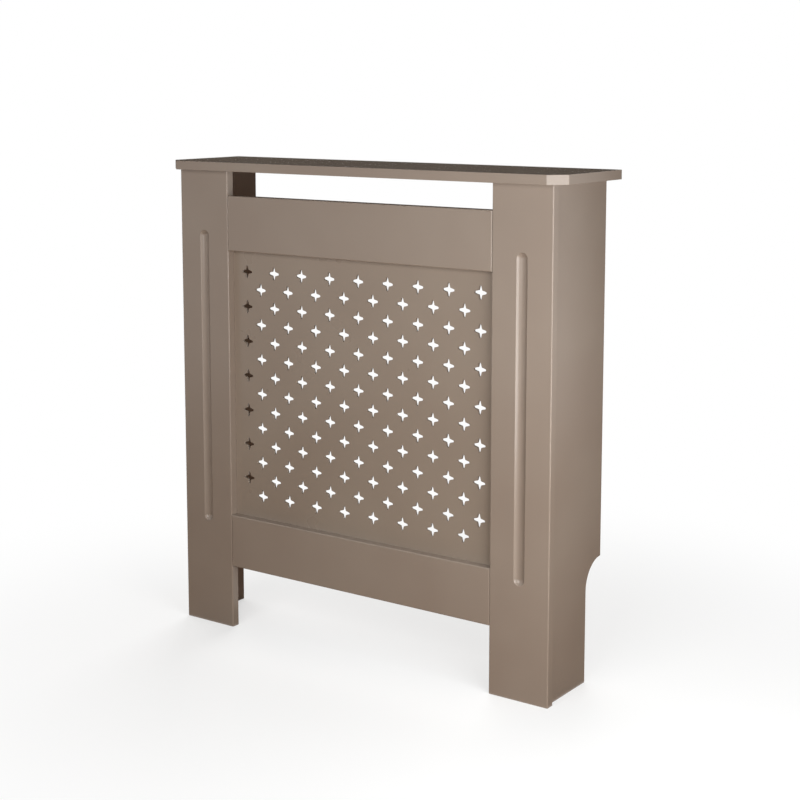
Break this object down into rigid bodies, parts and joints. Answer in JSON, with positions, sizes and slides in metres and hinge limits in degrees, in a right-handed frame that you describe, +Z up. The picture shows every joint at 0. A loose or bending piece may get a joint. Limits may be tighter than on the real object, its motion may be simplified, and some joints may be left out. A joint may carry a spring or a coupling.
{
  "type": "radiator cover cabinet",
  "caption": "Radiator cover: a shelf on notched side panels, with a front frame of fluted pilasters and rails round a star-pierced grille, held together by turning cam fittings and dowels.",
  "frame": {"origin": "on the floor, under the middle of the shelf", "axes": "+X to the right seen from the front, +Y towards the wall, +Z up; the front faces -Y"},
  "size_m": [0.78, 0.19, 0.815],
  "materials": {
    "lacquered_board": "satin taupe lacquer on fibreboard",
    "pierced_board": "satin taupe lacquer on thin fibreboard",
    "cast_zinc": "bright die-cast zinc",
    "plated_steel": "zinc-plated",
    "beech": "unfinished turned beech"
  },
  "bodies": {
    "cabinet": {"top_shelf": "lacquered_board", "top_rail": "lacquered_board", "bottom_rail": "lacquered_board", "left_pilaster": "lacquered_board", "right_pilaster": "lacquered_board", "left_side_panel": "lacquered_board", "right_side_panel": "lacquered_board", "grille_panel": "pierced_board", "left_cam_bolt_top_front": "plated_steel", "left_cam_bolt_top_rear": "plated_steel", "left_cam_bolt_frame_high": "plated_steel", "left_cam_bolt_frame_low": "plated_steel", "left_side_dowel_high": "beech", "left_side_dowel_low": "beech", "left_rail_dowel_top_upper": "beech", "left_rail_dowel_top_lower": "beech", "left_rail_dowel_bottom_upper": "beech", "left_rail_dowel_bottom_lower": "beech", "left_shelf_dowel": "beech", "left_wall_bracket": "plated_steel", "left_bracket_screw_1": "plated_steel", "left_bracket_screw_2": "plated_steel", "right_cam_bolt_top_front": "plated_steel", "right_cam_bolt_top_rear": "plated_steel", "right_cam_bolt_frame_high": "plated_steel", "right_cam_bolt_frame_low": "plated_steel", "right_side_dowel_high": "beech", "right_side_dowel_low": "beech", "right_rail_dowel_top_upper": "beech", "right_rail_dowel_top_lower": "beech", "right_rail_dowel_bottom_upper": "beech", "right_rail_dowel_bottom_lower": "beech", "right_shelf_dowel": "beech", "right_wall_bracket": "plated_steel", "right_bracket_screw_1": "plated_steel", "right_bracket_screw_2": "plated_steel", "grille_screw_1": "plated_steel", "grille_screw_2": "plated_steel", "grille_screw_3": "plated_steel", "grille_screw_4": "plated_steel", "grille_screw_5": "plated_steel", "grille_screw_6": "plated_steel", "grille_screw_7": "plated_steel", "grille_screw_8": "plated_steel"},
    "left_cam_top_front": {"left_cam_top_front": "cast_zinc"},
    "left_cam_top_rear": {"left_cam_top_rear": "cast_zinc"},
    "left_cam_frame_high": {"left_cam_frame_high": "cast_zinc"},
    "left_cam_frame_low": {"left_cam_frame_low": "cast_zinc"},
    "right_cam_top_front": {"right_cam_top_front": "cast_zinc"},
    "right_cam_top_rear": {"right_cam_top_rear": "cast_zinc"},
    "right_cam_frame_high": {"right_cam_frame_high": "cast_zinc"},
    "right_cam_frame_low": {"right_cam_frame_low": "cast_zinc"}
  },
  "joints": [
    {"name": "left_cam_top_front_turn", "type": "hinge", "parent": "cabinet", "child": "left_cam_top_front", "pos_m": [-0.35535, -0.031, 0.766], "axis": [1, 0, 0], "range_deg": [0, 180]},
    {"name": "left_cam_top_rear_turn", "type": "hinge", "parent": "cabinet", "child": "left_cam_top_rear", "pos_m": [-0.35535, 0.021, 0.766], "axis": [1, 0, 0], "range_deg": [0, 180]},
    {"name": "left_cam_frame_high_turn", "type": "hinge", "parent": "cabinet", "child": "left_cam_frame_high", "pos_m": [-0.35535, -0.031, 0.675], "axis": [1, 0, 0], "range_deg": [0, 180]},
    {"name": "left_cam_frame_low_turn", "type": "hinge", "parent": "cabinet", "child": "left_cam_frame_low", "pos_m": [-0.35535, -0.031, 0.1], "axis": [1, 0, 0], "range_deg": [0, 180]},
    {"name": "right_cam_top_front_turn", "type": "hinge", "parent": "cabinet", "child": "right_cam_top_front", "pos_m": [0.35535, -0.031, 0.766], "axis": [-1, 0, 0], "range_deg": [0, 180]},
    {"name": "right_cam_top_rear_turn", "type": "hinge", "parent": "cabinet", "child": "right_cam_top_rear", "pos_m": [0.35535, 0.021, 0.766], "axis": [-1, 0, 0], "range_deg": [0, 180]},
    {"name": "right_cam_frame_high_turn", "type": "hinge", "parent": "cabinet", "child": "right_cam_frame_high", "pos_m": [0.35535, -0.031, 0.675], "axis": [-1, 0, 0], "range_deg": [0, 180]},
    {"name": "right_cam_frame_low_turn", "type": "hinge", "parent": "cabinet", "child": "right_cam_frame_low", "pos_m": [0.35535, -0.031, 0.1], "axis": [-1, 0, 0], "range_deg": [0, 180]}
  ]
}
